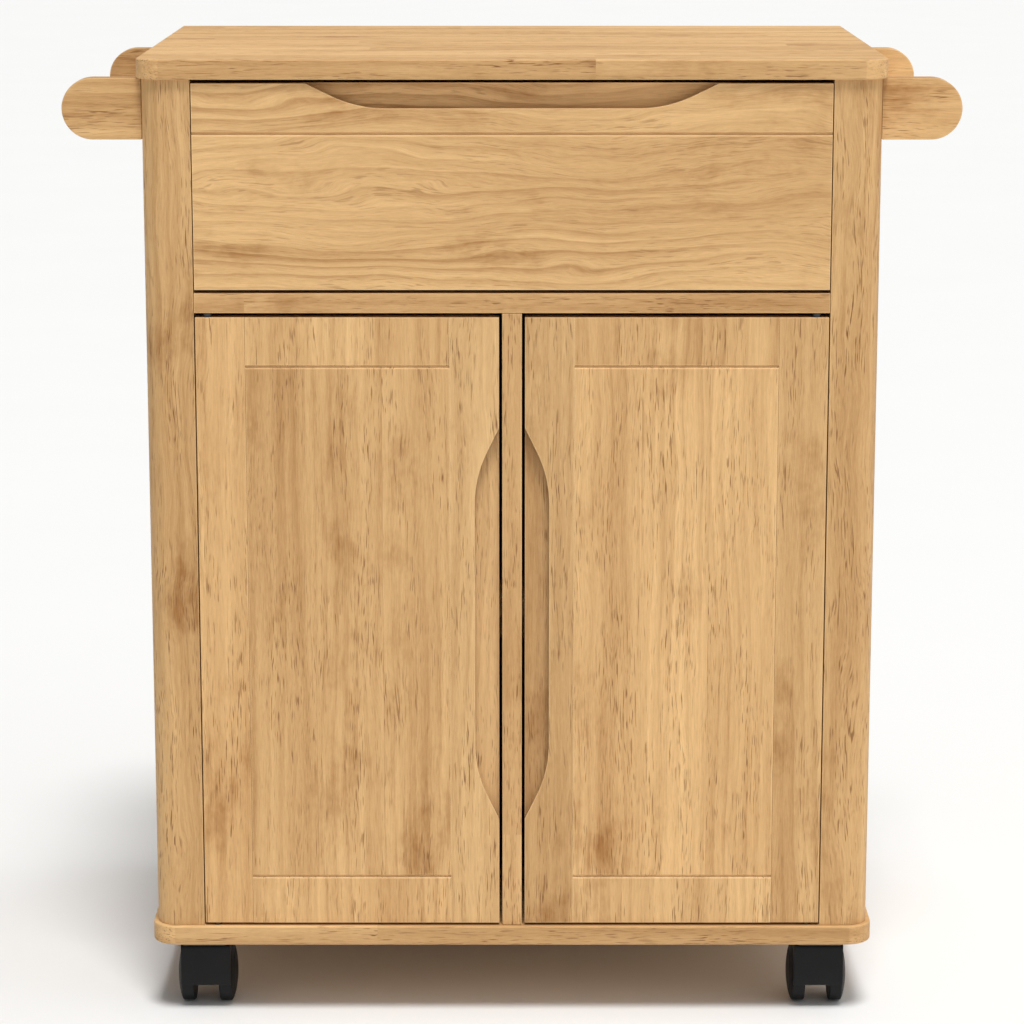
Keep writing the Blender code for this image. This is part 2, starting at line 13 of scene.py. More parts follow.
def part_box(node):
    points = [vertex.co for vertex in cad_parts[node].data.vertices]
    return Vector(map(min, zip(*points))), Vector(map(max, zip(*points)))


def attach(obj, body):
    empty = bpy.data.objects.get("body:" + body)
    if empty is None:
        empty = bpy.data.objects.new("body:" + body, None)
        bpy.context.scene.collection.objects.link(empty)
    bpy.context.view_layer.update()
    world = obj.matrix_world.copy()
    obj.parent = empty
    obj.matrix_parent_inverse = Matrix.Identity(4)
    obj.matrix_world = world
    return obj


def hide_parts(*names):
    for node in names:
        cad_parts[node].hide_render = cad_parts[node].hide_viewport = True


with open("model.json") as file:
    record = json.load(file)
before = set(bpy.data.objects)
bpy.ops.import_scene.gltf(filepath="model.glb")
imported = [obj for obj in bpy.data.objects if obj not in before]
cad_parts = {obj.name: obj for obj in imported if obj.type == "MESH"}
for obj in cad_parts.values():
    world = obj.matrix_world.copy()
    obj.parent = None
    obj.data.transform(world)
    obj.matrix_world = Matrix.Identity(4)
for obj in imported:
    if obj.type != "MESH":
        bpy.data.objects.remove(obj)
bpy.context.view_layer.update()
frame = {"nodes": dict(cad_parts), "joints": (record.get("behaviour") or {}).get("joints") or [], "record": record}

BODY_OF = {node: body for body, nodes in frame["record"]["behaviour"]["bodies"].items() for node in nodes}
SIDES = {"left": -1, "right": 1}
ENDS = ("front", "rear")

# Edges and joints
EDGE = 0.0007  # eased edge of a plank
BOARD_EDGE = 0.0014  # eased edge of the top and bottom boards
JOINT_EDGE = 0.0003  # edge of a door piece along a glued joint
HALF_GLUE = 0.00015  # closes half of the gap that the CAD leaves between glued planks
DRAWER_GROOVE = 0.0018  # depth of the V across the drawer
DOOR_GROOVE = 0.0015  # depth of the V between a door's rails and panel
STRIP = 0.040  # height of the drawer front above its groove
SHARP = math.radians(38)  # shading breaks at edges that turn by more than this
WHOLE = 900  # finger joint spacing that leaves a plank in one length

# Scooped pulls, as the CAD cuts them
SCOOP_HALF = 0.1643
SCOOP_FLAT_HALF = 0.1011
SCOOP_SLOPE = math.radians(26)
SCOOP_DEPTH = 0.0198
SCOOP_RECESS = 0.009
SCOOP_LIP = 0.004
SCOOP_UNDERCUT = 0.005
SCOOP_CENTRE = 0.334  # height of the door pulls above the floor

# Planks that the CAD cuts to fit their neighbours
BOARD_CORNER = 0.022
POST_CORNER = 0.018
DECK_GAP = 0.0002
PIN_BORE = 0.0023
PIN_REACH = 0.0153
TOOL_REACH = 0.01  # how far a groove's cutter runs past the wood
SOCKET_PLAY = 0.0001

# Castors, as the CAD has them. Heights are above the floor, the rest is measured from the stem
STEM_RADIUS = 0.004
STEM_BORE = 0.0041
STEM_BORE_ENDS = (0.0385, 0.0600)
PLATE_THICK = 0.002
PLATE_CORNER = 0.004
TRAIL = 0.019  # the axle's distance behind the stem
AXLE_HEIGHT = 0.025
AXLE_RADIUS = 0.003
AXLE_HALF = 0.0195
HOOD_RADIUS = 0.029
HOOD_TOP = 0.059
HOOD_CORNER = 0.006
HOOD_NOSE = 0.0215
HOOD_CROWN_END = 0.012
HOOD_UNDERSIDE = ((0.034, 0.0185), (TRAIL, 0.0150), (0.004, 0.0170))
HOOD_FILLET = 0.0042
WHEEL_ROOM = 0.0262  # radius of the space that a wheel turns in
WEB_HALF = 0.0097  # half of the wall between the two wheels
WHEEL_SIDE = 0.030  # the space runs this far to the side, past the hood
OPEN_FRONT = -0.030
OPEN_BACK = 0.0455
OPEN_TOP = 0.020

# Pine's layers, as lumps per metre along, across and into the grain
RINGS_PER_METRE = 104.0
SWAY = (5.5, 17, 9)
RIPPLE = (19, 70, 50)
LEAN = (2.2, 6, 6)
RING_STRENGTH = (2.2, 18, 18)
BROAD = (1.6, 30, 30)
STREAK = (4.5, 150, 150)
FIBRE = (60, 900, 900)
CLOUD = (8, 15, 15)
DASH = (64, 1050, 1050)
CROWD = (9, 60, 60)

# How much each layer deepens the wood's colour
BASE_DEPTH = 0.42
BROAD_DEPTH = 0.80
STREAK_DEPTH = 0.58
FIBRE_DEPTH = 0.62
CLOUD_DEPTH = 0.40
STAVE_DEPTH = 0.16
SEAM_DEPTH = 0.16
# Eased edges are painted lighter: partly wear, partly a painted highlight where edges catch the light
WEAR_AND_HIGHLIGHT = 0.45
WEAR_AND_HIGHLIGHT_REACH = 0.0016

# Camera at the photograph's place, tilted down to the cart
EYE = (0, -2.975, 0.993)
TILT = math.radians(11.53)
LENS = 122

# Studio light: a soft white room that is brighter on the right, a key from above and a large soft box
SKY = 0.36
SKY_LEAN = 0.6
BACKDROP = 0.90  # brightness of the room as low views see it, close to the floor's


# ---------------------------------------------------------------- materials

def srgb(red, green, blue):
    """A colour seen on screen, 0 to 255, as linear RGBA."""
    shares = [value / 255 for value in (red, green, blue)]
    linear = [s / 12.92 if s <= 0.04045 else ((s + 0.055) / 1.055) ** 2.4 for s in shares]
    return (*linear, 1)


PALE_PINE = srgb(238, 197, 140)
DEEP_PINE = srgb(160, 112, 63)
PORE_PINE = srgb(116, 74, 38)
# Colour of the lighter eased edges: partly wear, partly a painted highlight
WORN_AND_HIGHLIT_PINE = srgb(240, 205, 152)
BLACK = srgb(19, 19, 20)
WORN_BLACK = srgb(48, 48, 50)
FLOOR_SHADES = (srgb(234, 234, 233), srgb(239, 239, 238))


class Nodes:
    """Short calls for building a node tree."""

    def __init__(self, tree):
        self.tree = tree

    def add(self, kind, **settings):
        node = self.tree.nodes.new(kind)
        for name, value in settings.items():
            setattr(node, name, value)
        return node

    def feed(self, socket, value):
        if isinstance(value, bpy.types.NodeSocket):
            self.tree.links.new(value, socket)
        else:
            socket.default_value = value

    def math(self, operation, first, second=0.0, clamp=False):
        node = self.add("ShaderNodeMath", operation=operation, use_clamp=clamp)
        self.feed(node.inputs[0], first)
        self.feed(node.inputs[1], second)
        return node.outputs[0]

    def vector(self, operation, first, second):
        node = self.add("ShaderNodeVectorMath", operation=operation)
        self.feed(node.inputs[0], first)
        self.feed(node.inputs[1], second)
        return node.outputs[0]

    def split(self, vector):
        node = self.add("ShaderNodeSeparateXYZ")
        self.feed(node.inputs[0], vector)
        return node.outputs

    def join(self, x, y, z):
        node = self.add("ShaderNodeCombineXYZ")
        for socket, value in zip(node.inputs, (x, y, z)):
            self.feed(socket, value)
        return node.outputs[0]

    def noise(self, vector, stretch, detail=2.0, roughness=0.5, shift=0.0):
        """Noise about 0, with its own number of lumps per metre along each axis."""
        place = self.vector("MULTIPLY_ADD", vector, stretch)
        place.node.inputs[2].default_value = (shift, shift, shift)
        node = self.add("ShaderNodeTexNoise")
        self.feed(node.inputs["Vector"], place)
        node.inputs["Scale"].default_value = 1
        node.inputs["Detail"].default_value = detail
        node.inputs["Roughness"].default_value = roughness
        return self.math("SUBTRACT", node.outputs[0], 0.5)

    def ramp(self, value, low, high, smooth=True):
        """0 below low, 1 above high."""
        node = self.add("ShaderNodeMapRange")
        node.interpolation_type = "SMOOTHSTEP" if smooth else "LINEAR"
        self.feed(node.inputs["Value"], value)
        node.inputs["From Min"].default_value = low
        node.inputs["From Max"].default_value = high
        return node.outputs[0]

    def mix(self, share, first, second, blend="MIX"):
        node = self.add("ShaderNodeMix", data_type="RGBA", blend_type=blend)
        self.feed(node.inputs[0], share)
        self.feed(node.inputs[6], first)
        self.feed(node.inputs[7], second)
        return node.outputs[2]

    def sum(self, *terms):
        total = terms[0]
        for term in terms[1:]:
            total = self.math("ADD", total, term)
        return total


def pine_group():
    """Pine seen along, across and into a plank, in metres, glued up from staves when Stave is narrow."""
    tree = bpy.data.node_groups.new("pine_grain", "ShaderNodeTree")
    for name in ("Grain", "Tone", "Stave", "Finger", "Figure", "Swirl", "Seed"):
        kind = "NodeSocketVector" if name == "Grain" else "NodeSocketFloat"
        tree.interface.new_socket(name=name, in_out="INPUT", socket_type=kind)
    for name in ("Color", "Roughness", "Height"):
        kind = "NodeSocketColor" if name == "Color" else "NodeSocketFloat"
        tree.interface.new_socket(name=name, in_out="OUTPUT", socket_type=kind)
    n = Nodes(tree)
    given = n.add("NodeGroupInput").outputs
    stave = given["Stave"]
    along, across, into = n.split(given["Grain"])

    # Which stave, and which length of it between two finger joints
    row = n.math("FLOOR", n.math("DIVIDE", across, stave))
    row_random = n.add("ShaderNodeTexWhiteNoise", noise_dimensions="2D")
    n.feed(row_random.inputs["Vector"], n.join(row, given["Seed"], 0.0))
    run = n.math("DIVIDE", along, given["Finger"])
    run = n.math("ADD", run, n.math("MULTIPLY", row_random.outputs["Value"], 7.0))
    cell = n.add("ShaderNodeTexWhiteNoise", noise_dimensions="3D")
    n.feed(cell.inputs["Vector"], n.join(row, n.math("FLOOR", run), given["Seed"]))
    red, green, blue = n.split(cell.outputs["Color"])

    # Each stave has its own stretch of tree, which wanders sideways along its length
    middle = n.math("MULTIPLY", n.math("ADD", row, 0.5), stave)
    off_centre = n.math("SUBTRACT", across, middle)
    local = n.join(
        n.math("ADD", along, n.math("MULTIPLY", red, 9.0)),
        n.math("ADD", off_centre, n.math("MULTIPLY", green, 3.0)),
        n.math("ADD", into, n.math("MULTIPLY", blue, 0.7)),
    )
    sway = n.math("MULTIPLY", n.noise(local, SWAY, 2.0), given["Swirl"])
    ripple = n.math("MULTIPLY", n.noise(local, RIPPLE, 2.0, shift=3.1), 0.0032)
    local_x, local_y, local_z = n.split(local)
    bent_y = n.sum(local_y, sway, ripple)
    bent = n.join(local_x, bent_y, local_z)

    # Growth rings darken slowly and end sharply
    lean = n.math("MULTIPLY", n.noise(local, LEAN, 1.0, shift=7.7), 0.05)
    ring = n.math("FRACT", n.math("MULTIPLY", n.sum(bent_y, lean), RINGS_PER_METRE))
    late = n.math("MULTIPLY", n.math("POWER", ring, 2.2), n.math("SUBTRACT", 1.0, n.ramp(ring, 0.86, 1.0)))
    strength = n.ramp(n.noise(bent, RING_STRENGTH, 2.0, shift=1.9), -0.16, 0.20)
    boldness = n.math("MULTIPLY", strength, given["Figure"])
    rings = n.math("MULTIPLY", n.math("SUBTRACT", late, 0.25), boldness)

    # Streaks, fibres, soft dark clouds and short dark pores
    broad = n.noise(bent, BROAD, 2.0, shift=2.3)
    streak = n.noise(bent, STREAK, 3.0, 0.6, shift=4.9)
    fibre = n.noise(bent, FIBRE, 3.0, 0.8, shift=6.1)
    cloud = n.ramp(n.noise(bent, CLOUD, 5.0, 0.66, shift=8.3), 0.02, 0.26)
    dash = n.ramp(n.noise(bent, DASH, 1.0, 0.5, shift=5.7), 0.06, 0.20)
    crowd = n.ramp(n.noise(bent, CROWD, 3.0, 0.65, shift=9.1), -0.12, 0.14)
    plain = n.math("SUBTRACT", 1.2, n.math("MULTIPLY", given["Figure"], 1.7))  # bold figure hides pores
    pores = n.math("MULTIPLY", n.math("MULTIPLY", dash, crowd), plain, clamp=True)

    depth = n.sum(
        BASE_DEPTH,
        n.math("MULTIPLY", broad, BROAD_DEPTH),
        n.math("MULTIPLY", streak, STREAK_DEPTH),
        n.math("MULTIPLY", fibre, FIBRE_DEPTH),
        rings,
        n.math("MULTIPLY", cloud, CLOUD_DEPTH),
        n.math("MULTIPLY", n.math("SUBTRACT", blue, 0.5), STAVE_DEPTH),
    )
    depth.node.use_clamp = True
    wood = n.mix(depth, PALE_PINE, DEEP_PINE)
    wood = n.mix(pores, wood, PORE_PINE)

    # A hairline where two staves meet
    half_stave = n.math("MULTIPLY", stave, 0.5)
    edge = n.math("ABSOLUTE", n.math("SUBTRACT", n.math("ABSOLUTE", off_centre), half_stave))
    seam = n.math("SUBTRACT", 1.0, n.ramp(edge, 0.00008, 0.00030))
    wood = n.mix(n.math("MULTIPLY", seam, SEAM_DEPTH), wood, PORE_PINE)
    tone = n.join(given["Tone"], given["Tone"], given["Tone"])
    wood = n.mix(1.0, wood, tone, "MULTIPLY")

    given_out = n.add("NodeGroupOutput").inputs
    n.feed(given_out["Color"], wood)
    rough = n.sum(0.52, n.math("MULTIPLY", fibre, 0.25), n.math("MULTIPLY", pores, 0.18))
    n.feed(given_out["Roughness"], rough)
    height = n.sum(
        n.math("MULTIPLY", fibre, 0.30),
        n.math("MULTIPLY", streak, 0.35),
        n.math("MULTIPLY", pores, -0.65),
        n.math("MULTIPLY", seam, -0.40),
    )
    n.feed(given_out["Height"], height)
    return tree


PINE = pine_group()


def principled(name, colour, roughness):
    material = bpy.data.materials.new(name)
    material.use_nodes = True
    shader = material.node_tree.nodes["Principled BSDF"]
    shader.inputs["Base Color"].default_value = colour
    shader.inputs["Roughness"].default_value = roughness
    return material, Nodes(material.node_tree), shader


def add_bump(n, shader, height, strength, distance):
    bump = n.add("ShaderNodeBump")
    bump.inputs["Strength"].default_value = strength
    bump.inputs["Distance"].default_value = distance
    n.feed(bump.inputs["Height"], height)
    n.feed(shader.inputs["Normal"], bump.outputs["Normal"])


def edge_wear_and_highlight(n, reach):
    """Near 1 where a surface turns an edge, 0 on flat faces; it marks the edges painted lighter, partly as wear
    and partly as a painted highlight.
    """
    rounded = n.add("ShaderNodeBevel", samples=5)
    rounded.inputs["Radius"].default_value = reach
    true = n.add("ShaderNodeNewGeometry").outputs["True Normal"]
    facing = n.vector("DOT_PRODUCT", rounded.outputs["Normal"], true).node.outputs["Value"]
    return n.ramp(facing, 0.995, 0.90)


def pine(name, box, grain, staves=1, tone=1.0, finger=WHOLE, figure=0.25, swirl=0.012):
    """Pine for one plank. Grain names the axes along, across and into it, such as ZXY for an upright."""
    low, high = box
    axes = ["XYZ".index(letter) for letter in grain]
    material, n, shader = principled(f"pine_{name}", PALE_PINE, 0.5)
    spread = random.Random(name)
    place = n.split(n.add("ShaderNodeTexCoord").outputs["Object"])
    from_corner = [n.math("SUBTRACT", place[axis], float(low[axis])) for axis in axes]
    group = n.add("ShaderNodeGroup", node_tree=PINE)
    n.feed(group.inputs["Grain"], n.join(*from_corner))
    group.inputs["Tone"].default_value = tone
    group.inputs["Stave"].default_value = float(high[axes[1]] - low[axes[1]]) / staves + 0.00001
    group.inputs["Finger"].default_value = finger
    group.inputs["Figure"].default_value = figure
    group.inputs["Swirl"].default_value = swirl
    group.inputs["Seed"].default_value = spread.uniform(0, 90)
    # Edges are painted lighter here: partly wear, partly a painted highlight where edges catch the light
    worn = n.math("MULTIPLY", edge_wear_and_highlight(n, WEAR_AND_HIGHLIGHT_REACH), WEAR_AND_HIGHLIGHT)
    n.feed(shader.inputs["Base Color"], n.mix(worn, group.outputs["Color"], WORN_AND_HIGHLIT_PINE))
    n.feed(shader.inputs["Roughness"], group.outputs["Roughness"])
    shader.inputs["Specular IOR Level"].default_value = 0.18
    add_bump(n, shader, group.outputs["Height"], 0.35, 0.0004)
    return material


def moulded(name, colour, roughness, specks=0.25):
    """Moulded plastic: a fine spark-eroded texture and a slight change of shade over the surface."""
    material, n, shader = principled(name, colour, roughness)
    place = n.add("ShaderNodeTexCoord").outputs["Object"]
    grain = n.noise(place, (1900, 1900, 1900), 2.0, 0.6)
    cloud = n.noise(place, (60, 60, 60), 2.0, 0.5, shift=3.3)
    lighter = tuple(min(1.0, 1.9 * c + 0.002) for c in colour[:3]) + (1,)
    share = n.sum(0.30, n.math("MULTIPLY", cloud, 1.2), n.math("MULTIPLY", grain, 0.6))
    share.node.use_clamp = True
    n.feed(shader.inputs["Base Color"], n.mix(share, colour, lighter))
    n.feed(shader.inputs["Roughness"], n.sum(roughness, n.math("MULTIPLY", cloud, 0.25)))
    shader.inputs["Specular IOR Level"].default_value = 0.2
    add_bump(n, shader, grain, specks, 0.0001)
    return material


def black_steel(name):
    """Black finished steel: fine brushing and faintly worn, cloudy patches."""
    material, n, shader = principled(name, BLACK, 0.4)
    place = n.add("ShaderNodeTexCoord").outputs["Object"]
    worn = n.noise(place, (260, 260, 260), 2.0, 0.5)
    brush = n.noise(place, (120, 2600, 1200), 2.0, 0.6)
    share = n.math("MULTIPLY_ADD", worn, 1.4)
    share.node.inputs[2].default_value = 0.5
    n.feed(shader.inputs["Base Color"], n.mix(share, BLACK, WORN_BLACK))
    n.feed(shader.inputs["Roughness"], n.sum(0.42, n.math("MULTIPLY", worn, 0.3)))
    add_bump(n, shader, brush, 0.12, 0.0001)
    return material


HOOD_BLACK = moulded("castor_plastic", srgb(16, 16, 17), 0.5)
WHEEL_BLACK = moulded("castor_tread", srgb(14, 14, 15), 0.55)
CATCH_BROWN = moulded("catch_plastic", srgb(58, 46, 38), 0.45)
STEEL = black_steel("black_steel")


# ---------------------------------------------------------------- mesh work

def mesh_object(name, form):
    bmesh.ops.recalc_face_normals(form, faces=form.faces)
    mesh = bpy.data.meshes.new(name)
    form.to_mesh(mesh)
    form.free()
    mesh.shade_smooth()
    made = bpy.data.objects.new(name, mesh)
    bpy.context.scene.collection.objects.link(made)
    return made


def box_form(low, high):
    form = bmesh.new()
    size = Vector(high) - Vector(low)
    middle = (Vector(high) + Vector(low)) / 2
    bmesh.ops.create_cube(form, size=1, matrix=Matrix.Translation(middle) @ Matrix.Diagonal((*size, 1)))
    return form


def prism_form(points, low, high, facing="Z"):
    """A straight solid on an outline. The outline lies in XY, XZ or YZ as it faces Z, Y or X."""
    lift = {
        "Z": lambda u, v, w: (u, v, w),
        "Y": lambda u, v, w: (u, w, v),
        "X": lambda u, v, w: (w, u, v),
    }[facing]
    form = bmesh.new()
    base = form.faces.new([form.verts.new(lift(u, v, low)) for u, v in points])
    extruded = bmesh.ops.extrude_face_region(form, geom=[base])["geom"]
    moved = [item for item in extruded if isinstance(item, bmesh.types.BMVert)]
    bmesh.ops.translate(form, verts=moved, vec=Vector(lift(0, 0, high - low)))
    return form


def turned_form(profile, steps):
    """A solid turned about Z from (radius, height) points that start and end on the axis."""
    form = bmesh.new()
    points = [form.verts.new((radius, 0, height)) for radius, height in profile]
    edges = [form.edges.new(pair) for pair in zip(points, points[1:])]
    bmesh.ops.spin(
        form,
        geom=points + edges,
        cent=(0, 0, 0),
        axis=(0, 0, 1),
        angle=math.tau,
        steps=steps,
        use_merge=True,
    )
    bmesh.ops.remove_doubles(form, verts=form.verts, dist=0.000001)
    return form


def cylinder_form(radius, low, high, centre, axis="Z", steps=64):
    """A round bar between two levels on its axis, through the point that centre gives."""
    form = bmesh.new()
    turn = {
        "Z": Matrix.Identity(4),
        "Y": Matrix.Rotation(math.radians(90), 4, "X"),
        "X": Matrix.Rotation(math.radians(90), 4, "Y"),
    }[axis]
    middle = Vector(centre)
    middle["XYZ".index(axis)] = (low + high) / 2
    bmesh.ops.create_cone(
        form,
        cap_ends=True,
        segments=steps,
        radius1=radius,
        radius2=radius,
        depth=high - low,
        matrix=Matrix.Translation(middle) @ turn,
    )
    return form


def arc(centre, radius, start, end, steps):
    angles = [math.radians(start + (end - start) * i / steps) for i in range(steps + 1)]
    return [(centre[0] + radius * math.cos(a), centre[1] + radius * math.sin(a)) for a in angles]


def combine(made, operation, forms):
    """Adds one boolean per form, and bakes them."""
    tools = []
    for form in forms:
        tool = mesh_object(f"{made.name}_tool", form)
        modifier = made.modifiers.new("cut", "BOOLEAN")
        modifier.operation = operation
        modifier.object = tool
        tools.append(tool)
    bake_modifiers(made)
    for tool in tools:
        bpy.data.objects.remove(tool)


def shaped(name, form, cuts=(), edge=0.0, segments=3, joins=()):
    """Cuts a form, eases its sharp edges and gives it clean normals, with no modifiers left on it."""
    made = mesh_object(name, form)
    combine(made, "DIFFERENCE", cuts)
    combine(made, "UNION", joins)
    if edge:
        bevel = made.modifiers.new("edges", "BEVEL")
        bevel.width = edge
        bevel.segments = segments
        bevel.limit_method = "ANGLE"
        bevel.angle_limit = math.radians(50)
    bake_modifiers(made)
    made.data.shade_smooth()
    made.data.set_sharp_from_angle(angle=SHARP)
    flat = made.modifiers.new("normals", "WEIGHTED_NORMAL")
    flat.keep_sharp = True
    bake_modifiers(made)
    return made


def bake_modifiers(made):
    graph = bpy.context.evaluated_depsgraph_get()
    mesh = bpy.data.meshes.new_from_object(made.evaluated_get(graph))
    made.modifiers.clear()
    made.data = mesh


def stand_for(piece, material, *nodes):
    """Puts a material on a piece, and lets it ride in place of the CAD nodes that it stands for."""
    piece.data.materials.clear()
    piece.data.materials.append(material)
    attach(piece, BODY_OF[nodes[0]])
    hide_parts(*nodes)
    return piece


def paint(node, material):
    """Gives a CAD node, whose shape stays, a better material."""
    mesh = frame["nodes"][node].data
    mesh.materials.clear()
    mesh.materials.append(material)


def grown(box, low=(0, 0, 0), high=(0, 0, 0)):
    return Vector(box[0]) - Vector(low), Vector(box[1]) + Vector(high)


# ---------------------------------------------------------------- carcase

def corner_outline(box, radius, steps=20):
    """A board with its two front corners rounded and its back corners square."""
    (left, front, _), (right, back, _) = box
    points = [(right, back), (left, back)]
    points += arc((left + radius, front + radius), radius, 180, 270, steps)
    points += arc((right - radius, front + radius), radius, 270, 360, steps)
    return points


def make_boards():
    # The top board is painted paler than the bottom one: partly its own paler wood, partly painted light for its
    # brightly lit top face
    for node, tone, staves in (("top_board", 1.03, 9), ("bottom_board", 0.95, 9)):
        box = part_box(node)
        low, high = box
        form = prism_form(corner_outline(box, BOARD_CORNER), low[2], high[2])
        board = shaped(f"{node}_plank", form, edge=BOARD_EDGE, segments=4)
        stand_for(board, pine(node, box, "XYZ", staves, tone, 0.62, 0.16), node)


def make_posts():
    tones = {"left": 0.94, "right": 0.97}
    for name, side in SIDES.items():
        node = f"front_post_{name}"
        box = grown(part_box(node), (0, 0, HALF_GLUE), (0, 0, HALF_GLUE))
        (left, front, low_z), (right, back, high_z) = box
        inner, outer = (left, right) if side > 0 else (right, left)
        points = [(inner, front), (inner, back), (outer, back)]
        start, end = (0, -90) if side > 0 else (180, 270)
        points += arc((outer - side * POST_CORNER, front + POST_CORNER), POST_CORNER, start, end, 24)
        post = shaped(f"{node}_plank", prism_form(points, low_z, high_z, "Z"), edge=0.0004, segments=2)
        stand_for(post, pine(node, box, "ZXY", 1, tones[name], figure=0.2, swirl=0.03), node)


PLANKS = {
    # node: (grain, staves, tone)
    "centre_divider": ("ZYX", 8, 1.06),
    "side_panel_left": ("ZYX", 8, 0.97),
    "side_panel_right": ("ZYX", 8, 0.98),
    "shelf_left": ("XYZ", 7, 1.0),
    "shelf_right": ("XYZ", 7, 1.0),
    "shelf_cleat_left_inner": ("YZX", 1, 1.0),
    "shelf_cleat_left_outer": ("YZX", 1, 0.98),
    "shelf_cleat_right_inner": ("YZX", 1, 0.97),
    "shelf_cleat_right_outer": ("YZX", 1, 1.02),
    "drawer_runner_left": ("YZX", 1, 1.0),
    "drawer_runner_right": ("YZX", 1, 0.97),
    "drawer_back": ("XZY", 2, 1.02),
}
SHEETS = {"back_panel": "ZXY", "drawer_bottom": "XYZ"}


def make_planks():
    for node, (grain, staves, tone) in PLANKS.items():
        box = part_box(node)
        plank = shaped(f"{node}_plank", box_form(*box), edge=0.0006, segments=2)
        stand_for(plank, pine(node, box, grain, staves, tone, 0.5 if staves > 1 else WHOLE), node)
    for node, grain in SHEETS.items():
        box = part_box(node)
        sheet = shaped(f"{node}_plywood", box_form(*box), edge=0.0003, segments=2)
        stand_for(sheet, pine(node, box, grain, 1, 1.06, figure=0.35, swirl=0.09), node)
    for node in ("drawer_side_left", "drawer_side_right"):
        paint(node, pine(node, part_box(node), "YZX", 2, 1.0, 0.6))


def make_deck():
    """The deck's front edge shows between the drawer and the doors."""
    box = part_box("drawer_deck")
    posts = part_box("front_post_right")
    notch = posts[1][1] + 0.0003
    cuts = []
    for side in SIDES.values():
        near, far = sorted((side * (posts[0][0] - DECK_GAP), side * box[1][0] * 1.2))
        cuts.append(box_form((near, box[0][1] * 1.2, 0), (far, notch, 1)))
    deck = shaped("drawer_deck_plank", box_form(*box), cuts=cuts, edge=0.0005, segments=2)
    stand_for(deck, pine("drawer_deck", box, "XYZ", 8, 1.06, 0.5), "drawer_deck")


# ---------------------------------------------------------------- scooped fronts

def scoop_points(depth, outside=0.004):
    """The scoop's outline along an edge whose middle is at 0, in u along it and v into the wood."""
    rise = math.tan(SCOOP_SLOPE)
    run = SCOOP_HALF - SCOOP_FLAT_HALF
    radius = (rise * run - SCOOP_DEPTH) / (rise * math.sin(SCOOP_SLOPE) - (1 - math.cos(SCOOP_SLOPE)))
    steep = 90 - math.degrees(SCOOP_SLOPE)
    curve = arc((SCOOP_FLAT_HALF, depth - radius), radius, steep, 90, 14)
    right = [(SCOOP_HALF + (outside + depth - SCOOP_DEPTH) / rise, -outside), *curve]
    return right + [(-u, v) for u, v in reversed(right)]


def scoop_cuts(front, place):
    """The recess that shows and the undercut behind its lip. Place turns (u, v) into (x, z)."""
    recess = [place(u, v) for u, v in scoop_points(SCOOP_DEPTH)]
    undercut = [place(u, v) for u, v in scoop_points(SCOOP_DEPTH + SCOOP_UNDERCUT)]
    return [
        prism_form(recess, front - 0.004, front + SCOOP_RECESS, "Y"),
        prism_form(undercut, front + SCOOP_LIP, front + SCOOP_RECESS, "Y"),
    ]


def groove_form(left, right, front, height, depth):
    """A wedge that cuts a V with a narrow flat bottom, so that no edge in it is sharp enough to ease."""
    flat = 0.00012
    floor = front + depth - flat
    rim = 2 * depth
    outside = front - depth
    points = [(outside, height - rim), (outside, height + rim)]
    points += [(floor, height + flat), (floor, height - flat)]
    return prism_form(points, left, right, "X")


def make_drawer_front():
    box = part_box("drawer_front")
    low, high = box
    cuts = scoop_cuts(low[1], lambda u, v: (u, high[2] - v))
    ends = (low[0] - TOOL_REACH, high[0] + TOOL_REACH)
    cuts.append(groove_form(*ends, low[1], high[2] - STRIP, DRAWER_GROOVE))
    front = shaped("drawer_front_plank", box_form(*box), cuts=cuts, edge=EDGE)
    stand_for(front, pine("drawer_front", box, "XZY", 1.32, 1.0, WHOLE, 0.50, 0.045), "drawer_front")


DOOR_TONES = {
    "left": {"hinge_stile": 1.06, "lock_stile": 0.92, "top_rail": 1.0, "bottom_rail": 1.01, "panel": 0.98},
    "right": {"hinge_stile": 0.96, "lock_stile": 0.91, "top_rail": 1.0, "bottom_rail": 0.97, "panel": 1.03},
}


def make_door(name, side):
    """Stiles run the full height. Rails and panel lie between them, with a V groove where they meet."""
    boxes = {piece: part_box(f"{name}_door_{piece}") for piece in DOOR_TONES[name]}
    pivot = next(j for j in frame["joints"] if j["name"] == f"{name}_door_hinge")["pos_m"]
    for piece, tone in DOOR_TONES[name].items():
        node = f"{name}_door_{piece}"
        low, high = boxes[piece]
        wide = (HALF_GLUE, 0, 0) if "stile" not in piece else (0, 0, 0)
        tall = (0, 0, HALF_GLUE) if piece == "panel" else (0, 0, 0)
        reach = [2 * (w + t) for w, t in zip(wide, tall)]  # rails and panel run into the gap beside them
        box = grown((low, high), reach, reach)
        cuts = []
        if piece == "lock_stile":
            edge_x = low[0] if side > 0 else high[0]
            cuts = scoop_cuts(low[1], lambda u, v: (edge_x + side * v, SCOOP_CENTRE + u))
        elif piece == "hinge_stile":
            for level, inward in ((low[2], 1), (high[2], -1)):
                ends = sorted((level - inward * 0.001, level + inward * PIN_REACH))
                cuts.append(cylinder_form(PIN_BORE, *ends, (pivot[0], pivot[1], 0), "Z", 24))
        else:
            ends = (low[0] - TOOL_REACH, high[0] + TOOL_REACH)
            for level, grooved in ((low[2], piece != "bottom_rail"), (high[2], piece != "top_rail")):
                if grooved:
                    cuts.append(groove_form(*ends, low[1], level, DOOR_GROOVE))
        edge = EDGE if "stile" in piece else JOINT_EDGE
        made = shaped(f"{node}_plank", box_form(*box), cuts=cuts, edge=edge)
        stand_for(made, pine(node, box, "ZXY", 3 if piece == "panel" else 1, tone), node)


# ---------------------------------------------------------------- handles

